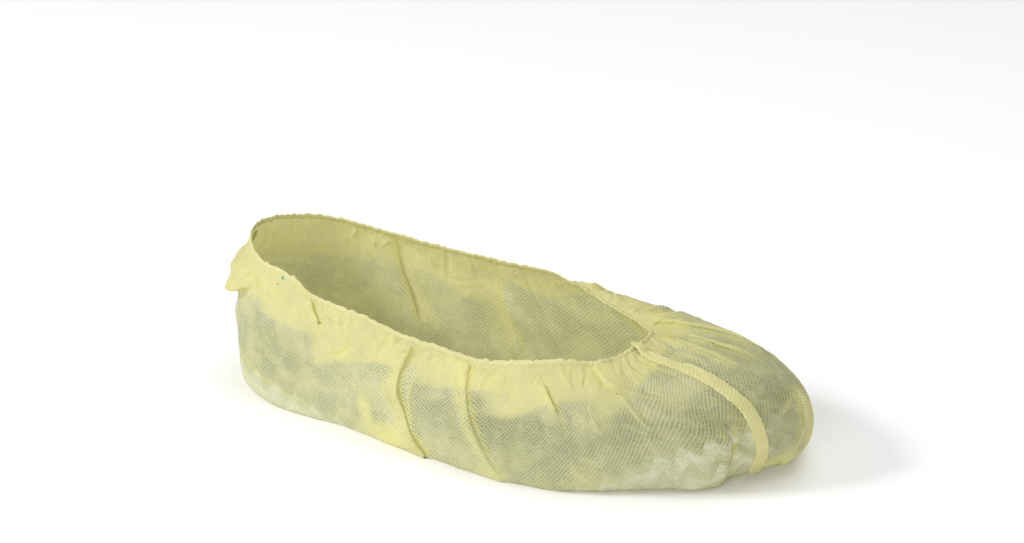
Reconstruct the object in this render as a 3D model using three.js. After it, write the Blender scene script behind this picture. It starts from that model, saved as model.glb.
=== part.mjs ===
// Disposable shoe cover in the shape it has when worn: one folded sheet of spunbonded fabric, gathered by an
// elastic hem round the opening and closed by a seam over the toe and another down the heel.
// Millimetres, +Z up, +X to the toe; the near side is -Y. Tables give X from the back of the heel.

import * as THREE from "three";

// Driving dimensions
const WALL = 1.2; // thickness of the sheet
const HEM = { height: 4, thickness: 3.2, gap: 0.4 }; // rolled edge with the elastic inside
const HEM_LEAN = 0.04; // share of the wall, below the rim, whose slope the hem carries on
const SEAM = { width: 6.5, thickness: 1.3, gap: 0.7 }; // folded seam allowance lying on the sheet

// Small pleats drawn up by the elastic. Their height swells and sinks a few times round the opening.
const GATHERS = { count: 50, height: 1.6, reach: 0.14, uneven: 0.25, swells: 5, start: 0.2 };

// Low places of the sole line, on which the cover stands
const PUCKERS = { depth: 0.5, width: 2, spokes: [26, 51, 104, 129] };

const COLOURS = { sheet: 0xe9e39c, hem: 0xf1edbf, seam: 0xece48f };

// Facets: spokes round the cover, steps down the wall, steps across the sole, sides of the hem, steps along a
// seam and lines across it. The wall's steps are closer together at the rim, by a power.
const ROUND_STEPS = 150;
const WALL_STEPS = 11;
const RIM_CROWDING = 1.25;
const SOLE_STEPS = 3;
const HEM_SIDES = 6;
const SEAM_STEPS = 44;
const SEAM_LINES = 4;

// One row for each main spoke, from the heel along the near side to the toe and back along the far side.
// rim: the top edge of the sheet. sole: the line where the wall turns under the foot.
// shoulder: how far the wall runs out and drops as it leaves the rim.
// belly: how far the wall stands out from the sole line, and how high above it.
const SPOKES = [
  { at: "heel", rim: [6, 0, 72], sole: [1, 0, 2], shoulder: [7, 18], belly: [8, 26] },
  { at: "heel_near", rim: [27, -29, 67], sole: [22, -36, 1], shoulder: [7, 15], belly: [6, 20] },
  { at: "quarter_near", rim: [76, -40, 58], sole: [76, -43, 0], shoulder: [8, 12], belly: [6, 18] },
  { at: "waist_near", rim: [128, -42, 51], sole: [126, -52, 0], shoulder: [9, 10], belly: [6, 18] },
  { at: "ball_near", rim: [181, -43, 53], sole: [182, -55, 0], shoulder: [10, 8], belly: [7, 18] },
  { at: "toe_near", rim: [213, -27, 57], sole: [247, -29, 1], shoulder: [22, 4], belly: [10, 28] },
  { at: "toe", rim: [220, 2, 59], sole: [287, 12, 8], shoulder: [46, -2], belly: [20, 38] },
  { at: "toe_far", rim: [203, 25, 58], sole: [268, 46, 3], shoulder: [29, 1], belly: [18, 32] },
  { at: "ball_far", rim: [163, 35, 62], sole: [196, 50, 0], shoulder: [14, 4], belly: [9, 26] },
  { at: "waist_far", rim: [120, 38, 60], sole: [130, 43, 0], shoulder: [9, 11], belly: [6, 20] },
  { at: "quarter_far", rim: [75, 37, 62], sole: [76, 37, 0], shoulder: [8, 13], belly: [6, 20] },
  { at: "heel_far", rim: [27, 28, 69], sole: [22, 32, 1], shoulder: [7, 15], belly: [7, 22] },
];

// The spine runs along the middle of the sole, where the spokes of the two sides meet.
const SPINE = { heel: [46, 0], toe: [250, 8] };

// One row for each main fold. path: the start, middle and end of its crest, each as a share of the way round
// and a share of the way from rim to sole line. height: how far its crest stands out.
// flanks: widths of its left and right flanks, seen from outside with the fold running down the page.
const FOLDS = [
  { at: "heel_slump", path: [[0.11, 0.22], [0.03, 0.36], [-0.055, 0.3]], height: 6.5, flanks: [16, 4] },
  { at: "quarter_crease", path: [[0.14, 0.04], [0.146, 0.12], [0.155, 0.22]], height: 2.2, flanks: [6, 4] },
  { at: "quarter_tuck", path: [[0.19, 0.22], [0.18, 0.31], [0.168, 0.42]], height: 2.4, flanks: [5, 7] },
  { at: "quarter_ridge", path: [[0.17, 0.46], [0.2, 0.64], [0.216, 0.97]], height: 3, flanks: [8, 7] },
  { at: "waist_fold", path: [[0.231, 0.05], [0.228, 0.45], [0.252, 0.95]], height: 5.5, flanks: [10, 4] },
  { at: "ball_fold", path: [[0.278, 0.04], [0.288, 0.44], [0.317, 0.97]], height: 5.5, flanks: [9, 4] },
  { at: "ball_crease", path: [[0.342, 0.12], [0.35, 0.27], [0.358, 0.42]], height: 2.2, flanks: [6, 4] },
  { at: "vamp_fold", path: [[0.394, 0.04], [0.417, 0.25], [0.422, 0.58]], height: 3, flanks: [8, 5] },
  { at: "toe_far_fold", path: [[0.561, 0.04], [0.54, 0.17], [0.53, 0.4]], height: 3.2, flanks: [5, 6] },
  { at: "toe_top_fold", path: [[0.535, 0.04], [0.52, 0.19], [0.519, 0.42]], height: 3, flanks: [5, 5] },
  { at: "toe_mid_fold", path: [[0.5125, 0.04], [0.511, 0.27], [0.528, 0.6]], height: 2.8, flanks: [5, 5] },
  { at: "toe_near_pleat", path: [[0.4625, 0.6], [0.453, 0.79], [0.446, 0.99]], height: 4, flanks: [12, 4] },
  { at: "toe_lip", path: [[0.506, 0.68], [0.502, 0.86], [0.474, 0.98]], height: 3, flanks: [4, 7] },
  { at: "far_ball_fold", path: [[0.66, 0.04], [0.655, 0.4], [0.64, 0.9]], height: 3.5, flanks: [5, 9] },
  { at: "far_waist_fold", path: [[0.755, 0.04], [0.765, 0.45], [0.75, 0.92]], height: 4, flanks: [5, 10] },
  { at: "far_quarter_fold", path: [[0.85, 0.04], [0.845, 0.4], [0.825, 0.85]], height: 3.2, flanks: [8, 6] },
];
const FOLD_SCALE = { round: 600, down: 80 }; // millimetres for a whole turn and for the whole wall
const FOLD_SAMPLES = 24;
const FOLD_ENDS = 0.1; // share of a fold's half wave cut off at each end, so that it starts with some height

// Middle lines of the two seams, given like the folds
const TOE_SEAM_LINE = [
  [0.462, 0.05],
  [0.483, 0.24],
  [0.484, 0.5],
  [0.476, 0.7],
  [0.469, 0.95],
];
const HEEL_SEAM_LINE = [
  [0, 0.1],
  [0, 0.3],
  [0, 0.6],
  [0, 0.95],
];

// Share of the way round, kept between 0 and 1
const around = (u) => ((u % 1) + 1) % 1;

// Smooth closed line through one column of the spoke table
function ringThrough(column) {
  const points = SPOKES.map((row) => new THREE.Vector3().fromArray([...row[column], 0]));
  return new THREE.CatmullRomCurve3(points, true, "catmullrom", 0.5);
}

const rimLine = ringThrough("rim");
const soleLine = ringThrough("sole");
const shoulderLine = ringThrough("shoulder");
const bellyLine = ringThrough("belly");

// Direction in plan that points away from the sole line
function outward(u) {
  const along = soleLine.getTangent(around(u));
  return new THREE.Vector3(along.y, -along.x, 0).normalize();
}

// Point of the smooth wall: u is the share of the way round, v the share of the way from rim to sole line
function wallPoint(u, v) {
  const rim = rimLine.getPoint(around(u));
  const sole = soleLine.getPoint(around(u));
  const shoulder = shoulderLine.getPoint(around(u));
  const belly = bellyLine.getPoint(around(u));
  const out = outward(u);
  const upper = rim.clone().addScaledVector(out, shoulder.x).setZ(rim.z - shoulder.y);
  const lower = sole.clone().addScaledVector(out, belly.x).setZ(sole.z + belly.y);
  return new THREE.CubicBezierCurve3(rim, upper, lower, sole).getPoint(v);
}

// Outward normal of the smooth wall
function wallNormal(u, v) {
  const step = 0.002;
  const low = Math.max(v - step, 0);
  const high = Math.min(v + step, 1);
  const down = wallPoint(u, high).sub(wallPoint(u, low));
  const along = wallPoint(u + step, v).sub(wallPoint(u - step, v));
  return down.cross(along).normalize();
}

// A fold's middle line as points in millimetres on the flattened wall
const flat = (point) => new THREE.Vector2(point[0] * FOLD_SCALE.round, point[1] * FOLD_SCALE.down);
const foldLines = FOLDS.map((fold) => {
  const through = new THREE.SplineCurve(fold.path.map(flat));
  return through.getPoints(FOLD_SAMPLES);
});

// How far one fold lifts the sheet: full along its middle, fading over its two flanks and at both ends
function foldLift(fold, line, place) {
  let nearest = 0;
  for (let k = 1; k < line.length; k++)
    if (place.distanceToSquared(line[k]) < place.distanceToSquared(line[nearest])) nearest = k;
  const before = line[Math.max(nearest - 1, 0)];
  const after = line[Math.min(nearest + 1, line.length - 1)];
  const along = after.clone().sub(before);
  const offset = place.clone().sub(line[nearest]);
  const flank = along.cross(offset) > 0 ? fold.flanks[0] : fold.flanks[1];
  const share = nearest / FOLD_SAMPLES;
  const ends = Math.sqrt(Math.sin(Math.PI * (FOLD_ENDS + (1 - 2 * FOLD_ENDS) * share)));
  return fold.height * ends * Math.exp(-offset.lengthSq() / flank ** 2);
}

// How far all the folds and gathers lift the sheet at one place of the wall
function lift(u, v) {
  let total = 0;
  FOLDS.forEach((fold, k) => {
    const [start, , end] = fold.path;
    const middle = (start[0] + end[0]) / 2;
    const turn = Math.round(u - middle);
    total = Math.max(total, foldLift(fold, foldLines[k], flat([u - turn, v])));
  });
  const swell = Math.sin(2 * Math.PI * (GATHERS.swells * u + GATHERS.start));
  const height = GATHERS.height * (1 - GATHERS.uneven + GATHERS.uneven * swell);
  const wave = Math.cos(2 * Math.PI * GATHERS.count * u);
  return total + height * wave * Math.exp(-v / GATHERS.reach);
}

// Share of a pucker's depth at one place of the sole line
function pucker(u) {
  const away = PUCKERS.spokes.map((spoke) => (u - spoke / ROUND_STEPS) * FOLD_SCALE.round);
  return away.reduce((sum, distance) => sum + Math.exp(-((distance / PUCKERS.width) ** 2)), 0);
}

// Point of the outside of the sheet on the wall, which dips under the flat sole only at the puckers
function fabricPoint(u, v) {
  const point = wallPoint(u, v).addScaledVector(wallNormal(u, v), lift(u, v));
  const dip = v === 1 ? PUCKERS.depth * pucker(u) : 0;
  return point.setZ(Math.max(point.z, 0) - dip);
}

// Corner of the sheet's facets: spoke i and step j down the wall
const wallCorner = (i, j) => fabricPoint(i / ROUND_STEPS, (j / WALL_STEPS) ** RIM_CROWDING);

// Point of the wall on the facets themselves, so that a seam can follow them closely
function facetPoint(u, v) {
  const spoke = Math.floor(u * ROUND_STEPS);
  const step = Math.min(Math.floor(v ** (1 / RIM_CROWDING) * WALL_STEPS), WALL_STEPS - 1);
  const right = u * ROUND_STEPS - spoke;
  const down = v ** (1 / RIM_CROWDING) * WALL_STEPS - step;
  const start = wallCorner(spoke, step);
  const end = wallCorner(spoke + 1, step + 1);
  const bend = down >= right ? wallCorner(spoke, step + 1) : wallCorner(spoke + 1, step);
  const first = Math.max(down, right);
  const second = Math.min(down, right);
  const across = bend.clone().sub(start);
  return start.clone().addScaledVector(across, first).addScaledVector(end.sub(bend), second);
}

// Point of the sole: w is the share of the way from the sole line to the spine
function solePoint(u, w) {
  const edge = fabricPoint(u, 1);
  const span = SPOKES[SPOKES.length / 2].sole[0] - SPOKES[0].sole[0];
  const middle = (soleLine.getPoint(around(u)).x + soleLine.getPoint(around(1 - u)).x) / 2;
  const share = (middle - SPOKES[0].sole[0]) / span;
  const spine = new THREE.Vector2(...SPINE.heel).lerp(new THREE.Vector2(...SPINE.toe), share);
  return new THREE.Vector3(spine.x, spine.y, 0).lerp(edge, 1 - w).setZ(edge.z * (1 - w) ** 2);
}

// Closed mesh from points and triangles
function solid(name, positions, faces, color) {
  const geometry = new THREE.BufferGeometry();
  geometry.setAttribute("position", new THREE.Float32BufferAttribute(positions, 3));
  geometry.setIndex(faces);
  geometry.computeVertexNormals();
  const mesh = new THREE.Mesh(geometry, new THREE.MeshStandardMaterial({ color, roughness: 0.85 }));
  mesh.name = name;
  return mesh;
}

// Two triangles for a four-cornered patch
const patch = (a, b, c, d) => [a, b, c, a, c, d];

// The sheet: spokes from the rim down the wall and under to the spine, where both sides share their points,
// with an inner face one wall behind it and a narrow edge between the two round the opening
function makeSheet() {
  const rows = WALL_STEPS + SOLE_STEPS;
  const at = (i, j) => {
    const spoke = i % ROUND_STEPS;
    return j < rows ? j * ROUND_STEPS + spoke : rows * ROUND_STEPS + Math.min(spoke, ROUND_STEPS - spoke);
  };
  const outside = [];
  for (let j = 0; j < rows; j++)
    for (let i = 0; i < ROUND_STEPS; i++) {
      const onSole = j > WALL_STEPS;
      const point = onSole ? solePoint(i / ROUND_STEPS, (j - WALL_STEPS) / SOLE_STEPS) : wallCorner(i, j);
      outside.push(...point.toArray());
    }
  for (let i = 0; i <= ROUND_STEPS / 2; i++) outside.push(...solePoint(i / ROUND_STEPS, 1).toArray());

  const faces = [];
  for (let j = 0; j < rows; j++)
    for (let i = 0; i < ROUND_STEPS; i++)
      faces.push(...patch(at(i, j), at(i, j + 1), at(i + 1, j + 1), at(i + 1, j)));

  const skin = solid("skin", outside, faces, 0);
  const normals = skin.geometry.getAttribute("normal").array;
  const inside = outside.map((value, k) => value - WALL * normals[k]);
  const first = outside.length / 3;
  const shell = [...faces];
  for (let k = 0; k < faces.length; k += 3)
    shell.push(first + faces[k], first + faces[k + 2], first + faces[k + 1]);
  for (let i = 0; i < ROUND_STEPS; i++)
    shell.push(...patch(at(i, 0), at(i + 1, 0), first + at(i + 1, 0), first + at(i, 0)));
  return solid("sheet", [...outside, ...inside], shell, COLOURS.sheet);
}

// The hem: a rounded band that carries the sheet's edge on, a small gap above it, all round the opening
function makeHem() {
  const at = (i, k) => (i % ROUND_STEPS) * HEM_SIDES + (k % HEM_SIDES);
  const positions = [];
  const faces = [];
  for (let i = 0; i < ROUND_STEPS; i++) {
    const u = i / ROUND_STEPS;
    const edge = fabricPoint(u, 0);
    const up = wallPoint(u, 0).sub(wallPoint(u, HEM_LEAN)).normalize();
    const out = wallNormal(u, 0);
    const middle = edge.addScaledVector(out, -WALL / 2).addScaledVector(up, HEM.gap + HEM.height / 2);
    for (let k = 0; k < HEM_SIDES; k++) {
      const angle = Math.PI / 2 - (2 * Math.PI * k) / HEM_SIDES;
      const point = middle.clone().addScaledVector(out, (HEM.thickness / 2) * Math.cos(angle));
      positions.push(...point.addScaledVector(up, (HEM.height / 2) * Math.sin(angle)).toArray());
      faces.push(...patch(at(i, k), at(i, k + 1), at(i + 1, k + 1), at(i + 1, k)));
    }
  }
  return solid("elastic_hem", positions, faces, COLOURS.hem);
}

// A seam: a flat strip that follows the sheet along its line, a small gap outside it
function makeSeam(name, line) {
  const path = new THREE.SplineCurve(line.map((point) => new THREE.Vector2(...point)));
  const ring = 2 * SEAM_LINES;
  const at = (i, k) => i * ring + (k % ring);
  const positions = [];
  const faces = [];
  for (let i = 0; i <= SEAM_STEPS; i++) {
    const { x: u, y: v } = path.getPoint(i / SEAM_STEPS);
    const reach = 0.005;
    const turn = wallPoint(u + reach, v).distanceTo(wallPoint(u - reach, v)) / (2 * reach);
    const lower = [];
    const upper = [];
    for (let k = 0; k < SEAM_LINES; k++) {
      const place = u + (SEAM.width * (k / (SEAM_LINES - 1) - 0.5)) / turn;
      const normal = wallNormal(place, v);
      lower.push(facetPoint(place, v).addScaledVector(normal, SEAM.gap));
      upper.unshift(facetPoint(place, v).addScaledVector(normal, SEAM.gap + SEAM.thickness));
    }
    for (const point of [...lower, ...upper]) positions.push(...point.toArray());
    for (let k = 0; i < SEAM_STEPS && k < ring; k++)
      faces.push(...patch(at(i, k), at(i, k + 1), at(i + 1, k + 1), at(i + 1, k)));
  }
  for (let k = 0; k < SEAM_LINES - 1; k++) {
    const [a, b, c, d] = [k, k + 1, ring - 2 - k, ring - 1 - k];
    faces.push(...patch(at(0, a), at(0, d), at(0, c), at(0, b)));
    faces.push(...patch(at(SEAM_STEPS, a), at(SEAM_STEPS, b), at(SEAM_STEPS, c), at(SEAM_STEPS, d)));
  }
  return solid(name, positions, faces, COLOURS.seam);
}

const cover = new THREE.Group();
cover.name = "shoe_cover";
cover.add(makeSheet(), makeHem(), makeSeam("toe_seam", TOE_SEAM_LINE), makeSeam("heel_seam", HEEL_SEAM_LINE));

// The origin is on the floor, under the middle of the cover
const box = new THREE.Box3().setFromObject(cover);
const centre = box.getCenter(new THREE.Vector3()).setZ(box.min.z);
for (const piece of cover.children) piece.geometry.translate(-centre.x, -centre.y, -centre.z);

export default cover;
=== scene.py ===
import math
from types import SimpleNamespace as Row

import bpy
import numpy as np
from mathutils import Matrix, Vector


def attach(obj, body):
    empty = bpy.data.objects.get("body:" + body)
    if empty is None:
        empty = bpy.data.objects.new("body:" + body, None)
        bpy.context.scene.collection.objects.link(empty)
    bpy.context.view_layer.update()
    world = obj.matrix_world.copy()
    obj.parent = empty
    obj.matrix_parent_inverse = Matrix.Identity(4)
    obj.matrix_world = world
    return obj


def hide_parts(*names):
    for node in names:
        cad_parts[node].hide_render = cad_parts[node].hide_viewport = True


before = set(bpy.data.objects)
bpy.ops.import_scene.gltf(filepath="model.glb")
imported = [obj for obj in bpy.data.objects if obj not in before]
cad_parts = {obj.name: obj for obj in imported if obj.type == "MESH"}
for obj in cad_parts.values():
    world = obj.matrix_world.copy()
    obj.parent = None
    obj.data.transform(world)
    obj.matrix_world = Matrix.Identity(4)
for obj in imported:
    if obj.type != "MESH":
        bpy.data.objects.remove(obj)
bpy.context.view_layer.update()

MM = 0.001
ORIGIN = np.array([143.68, -2.70, -0.5])  # the part's origin, measured from the back of the heel
SEED = 11


def table(columns, *rows):
    """Rows of a table by the names of its columns, of which a row may leave out the last."""
    return [Row(**dict(zip(columns.split(), row))) for row in rows]


# One row for each main spoke, from the heel along the near side to the toe and back along the far side.
# rim: the top edge of the sheet. sole: the line where the wall turns under the foot.
# shoulder: how far the wall runs out and drops as it leaves the rim.
# belly: how far the wall stands out from the sole line, and how high above it.
# gather: how strongly the elastic draws the sheet together there.
SPOKES = table(
    "at rim sole shoulder belly gather",
    ("heel", (6, 0, 72), (4, 0, 9), (7, 18), (6, 22), 0.6),
    ("heel_near", (27, -29, 67), (22, -36, 2), (7, 15), (6, 20), 0.6),
    ("quarter_near", (76, -40, 58), (76, -43, 0), (8, 12), (6, 18), 0.9),
    ("waist_near", (128, -42, 51), (126, -52, 0), (9, 10), (6, 18), 0.95),
    ("ball_near", (181, -43, 53), (182, -55, 0), (10, 8), (7, 18), 0.85),
    ("toe_near", (213, -27, 57), (247, -29, 1), (22, 4), (10, 28), 0.7),
    ("toe", (220, 2, 59), (288, 12, 5), (46, -1), (20, 37), 0.9),
    ("toe_far", (203, 25, 58), (268, 46, 3), (29, 1), (18, 32), 1.0),
    ("ball_far", (163, 35, 62), (196, 50, 0), (14, 4), (9, 26), 0.9),
    ("waist_far", (120, 38, 60), (130, 43, 0), (9, 11), (6, 20), 0.9),
    ("quarter_far", (75, 37, 62), (76, 37, 0), (8, 13), (6, 20), 0.8),
    ("heel_far", (27, 28, 69), (22, 32, 1), (7, 15), (7, 22), 0.6),
)
SPINE = Row(heel=(46, 0), toe=(250, 8))  # middle of the sole, where the spokes of the two sides meet

# How far the uneven top edge stands above the smooth rim, in mm, for shares of the way round
RIM_RISE = [
    (0.0, 2.0), (0.065, 2.2), (0.088, 2.6), (0.106, 5.5), (0.117, 5.9), (0.126, 5.2), (0.137, 2.2),
    (0.151, 1.5), (0.169, 3.0), (0.193, 3.8), (0.219, 2.0), (0.254, 2.0), (0.275, 0.9), (0.285, 0.2),
    (0.324, 4.0), (0.358, 5.5), (0.396, 1.8), (0.425, 2.0), (0.446, 3.0), (0.5, 2.0), (0.53, -2.0),
    (0.56, -4.0), (0.594, -5.0), (0.617, -4.5), (0.635, -3.5), (0.65, -2.0), (0.67, -1.0), (0.69, 1.5),
    (0.75, 2.0), (1.0, 2.0),
]
RISE_REACH = 0.3  # share of the wall below the rim that is raised or lowered with it
# How far below the rim the gathered sheet is thick and bright, in mm, for shares of the way round
DENSE_REACH = [
    (0.0, 28), (0.06, 25), (0.09, 15), (0.12, 16), (0.15, 23), (0.22, 20), (0.27, 17), (0.3, 21), (0.36, 18),
    (0.42, 16), (0.48, 12), (0.55, 14), (0.65, 16), (0.75, 20), (0.85, 20), (0.95, 26), (1.0, 28),
]
# How sharply that ends, and how much its end waves
DENSE_END = Row(sharp=10, waves=0.35)
# How far the lower edge is drawn in under the foot, in mm, for shares of the way round
SOLE_TUCK = [
    (0.0, 0.0), (0.355, 0.0), (0.385, 2.6), (0.41, 1.4), (0.428, 0.4), (0.45, 4.6), (0.475, 5.0),
    (0.495, 3.0), (0.52, 0.0), (1.0, 0.0),
]
# How far up the wall the print's top zigzag band is, in mm above the sole line, for shares of the way round
TREAD_BAND = [
    (0.0, 11), (0.07, 13), (0.11, 11), (0.14, 8), (0.17, 2), (0.2, -6), (0.25, -10), (0.34, -7), (0.38, 6),
    (0.41, 16), (0.44, 27), (0.485, 34), (0.52, 34), (0.57, 20), (0.62, 4), (0.67, -8), (0.75, -10),
    (0.84, -8), (0.88, 2), (0.93, 10), (1.0, 11),
]
# How far the print has faded from the wall, for shares of the way round
FADED = [
    (0.0, 0.35), (0.2, 0.3), (0.38, 0.1), (0.43, 0.0), (0.47, 0.0), (0.485, 0.7), (0.53, 0.8), (0.6, 0.5),
    (1.0, 0.35),
]
SOLE_PRINT = 200  # distance in mm of the sole's middle line below the print's uppermost band

# One row for each main fold. line: share of the way round and share of the way from rim to sole line, at a
# few points from its start to its end. height: how far its crest stands out. left and right: widths of its
# flanks, seen from outside with the fold running down the page. lap: how far its crest is laid over the
# sheet beside it, to the right, or to the left where it is below zero. hold: how firmly it keeps its shape
# as the sheet settles. show: how much its layers show. tail: the share of it left at its end. ease: the
# shares of its length over which it rises and falls, where they aren't the usual ones.
FOLDS = table(
    "at line height left right lap hold show tail ease",
    ("heel_slump",
     ((0.085, 0.15), (0.055, 0.31), (0.025, 0.395), (-0.02, 0.38), (-0.08, 0.42), (-0.15, 0.42)),
     7.4, 17, 7, 6, 0.75, 0.8, 0.0, (0.14, 0.75)),
    ("heel_top", ((0.085, 0.1), (0.04, 0.22), (-0.01, 0.24), (-0.09, 0.26)), 6.4, 7, 9, 0, 0.7, 0.0, 0.0,
     (0.2, 0.7)),
    ("heel_bulge", ((0.1, 0.74), (0.03, 0.66), (-0.06, 0.69)), 1.7, 9, 8, 0, 0.1, 0.0, 0.0),
    ("quarter_crease", ((0.14, 0.03), (0.146, 0.12), (0.155, 0.22)), 1.6, 8, 6, 2.6, 0.6, 0.9, 0.0),
    ("quarter_tuck", ((0.19, 0.22), (0.18, 0.31), (0.168, 0.42)), 0.9, 6, 8, -1.4, 0.3, 0.9, 0.0),
    ("quarter_ridge", ((0.17, 0.46), (0.2, 0.64), (0.216, 0.97)), 2.2, 8, 7, 0, 0.1, 0.0, 0.4),
    ("waist_fold", ((0.231, 0.04), (0.228, 0.45), (0.252, 0.97)), 2.4, 12, 10, 4.4, 0.75, 0.9, 0.85),
    ("ball_fold", ((0.278, 0.02), (0.288, 0.44), (0.317, 0.98)), 2.0, 10, 9, 3.6, 0.75, 0.75, 0.55),
    ("ball_crease", ((0.342, 0.12), (0.35, 0.27), (0.358, 0.42)), 1.6, 7, 6, 2.6, 0.6, 0.8, 0.0),
    ("vamp_fold", ((0.394, 0.02), (0.405, 0.13), (0.417, 0.3)), 2.6, 9, 13, -4, 0.7, 0.9, 0.0),
    ("toe_far_fold", ((0.561, 0.03), (0.545, 0.17), (0.54, 0.45)), 3.0, 6, 7, -2.5, 0.6, 0.9, 0.0),
    ("toe_top_fold", ((0.53, 0.03), (0.521, 0.19), (0.523, 0.45)), 2.4, 5, 6, -2, 0.6, 0.8, 0.0),
    ("toe_mid_fold", ((0.505, 0.03), (0.504, 0.16), (0.509, 0.4)), 2.2, 5, 6, -2, 0.6, 0.8, 0.0),
    ("toe_near_pleat", ((0.4605, 0.56), (0.4495, 0.79), (0.4425, 1.0)), 3.4, 16, 12, 4.5, 0.6, 0.15, 1.0),
    ("toe_lip", ((0.518, 0.54), (0.507, 0.76), (0.494, 0.97)), 3.2, 6, 9, -3, 0.7, 0.8, 0.5),
    ("far_ball_fold", ((0.66, 0.04), (0.655, 0.4), (0.64, 0.9)), 1.7, 12, 12, 3.5, 0.4, 0.8, 0.0),
    ("far_waist_fold", ((0.755, 0.04), (0.765, 0.45), (0.75, 0.92)), 2.2, 13, 13, -5, 0.4, 0.7, 0.0),
    ("far_quarter_fold", ((0.85, 0.04), (0.845, 0.4), (0.825, 0.85)), 2, 13, 12, 4, 0.4, 0.7, 0.0),
)
FOLD_SCALE = np.array([600.0, 80.0])  # millimetres for a whole turn and for the whole wall
FOLD_SAMPLES = 40
FOLD_REACH = 3  # a fold is followed this many of its wider flank's widths to each side
FADE = 0.28  # share of a fold's length over which it rises from, or falls to, an end within the wall
RIM_END = 0.06  # a fold that starts nearer the rim than this runs up to it
# Share of such a fold that there is at the rim, and how fast it grows from there
RIM_START = Row(share=0.3, climb=12)
ROUND_CREST = 1.5  # power by which a fold that isn't laid over falls away
HOLD_WIDTH = 0.7  # share of its flanks that a fold holds
HOLD_FREE = 1.6  # how much of a fold's hold keeps the small forms off it
# Section of a fold that is laid over. along: how far the cloth has run, as a share of its flank, below zero
# up to the crest. place: where it has got to, in laps. rise: how high it is, as a share of the fold's height.
LAID_OVER = Row(
    along=(-1.0, -0.45, -0.08, 0.0, 0.07, 0.34, 0.42, 0.6, 1.0),
    place=(0.0, 0.3, 0.5, 0.52, 0.45, -0.45, -0.4, 0.0, 0.0),
    rise=(0.0, 0.8, 1.05, 0.9, 0.7, 0.5, 0.15, 0.0, 0.0),
)
# Where its layers show, given like along: how far back from the crest, and how fast they end past it
LAYERS = Row(back=0.5, end=7)
# Painted shade where the cloth goes in under it, given like along: how deep it is, and how fast it falls away
CLEFT_SHADE = Row(along=0.4, depth=1.2, fall=9)

# Places where a fold has taken up layers: their reach round and down, in mm, and how strong they are
TUCKS = table(
    "at reach share",
    ((0.417, 0.1), (9.0, 5.0), 1.0),
    ((0.457, 0.1), (5.0, 4.0), 1.0),
    ((0.228, 0.9), (19.0, 10.0), 1.0),
    ((0.2, 0.74), (4.0, 17.0), 0.75),
    ((0.178, 0.3), (4.0, 2.5), 1.0),
    ((0.575, 0.1), (7.0, 5.0), 1.0),
    ((0.498, 0.98), (17.0, 4.0), 0.9),
    ((0.517, 0.86), (5.0, 10.0), 0.9),
)
# Places where the sheet lies tight on the foot, darkened with painted shade and the dark of a foot seen
# through it, given like the tucks
TAUT_SHADE = table(
    "at reach share",
    ((0.313, 0.52), (29.0, 27.0), 1.05),
    ((0.36, 0.6), (24.0, 18.0), 0.45),
    ((0.405, 0.5), (20.0, 14.0), 0.7),
    ((0.452, 0.68), (15.0, 20.0), 1.2),
    ((0.497, 0.7), (24.0, 25.0), 1.3),
    ((0.54, 0.7), (20.0, 22.0), 0.6),
    ((0.258, 0.48), (9.0, 20.0), 0.4),
    ((0.105, 0.47), (24.0, 19.0), 0.65),
)
TUCK_EDGE = 2  # how sharply a tuck ends
TAUT_SHADE_EDGE = 1

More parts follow.
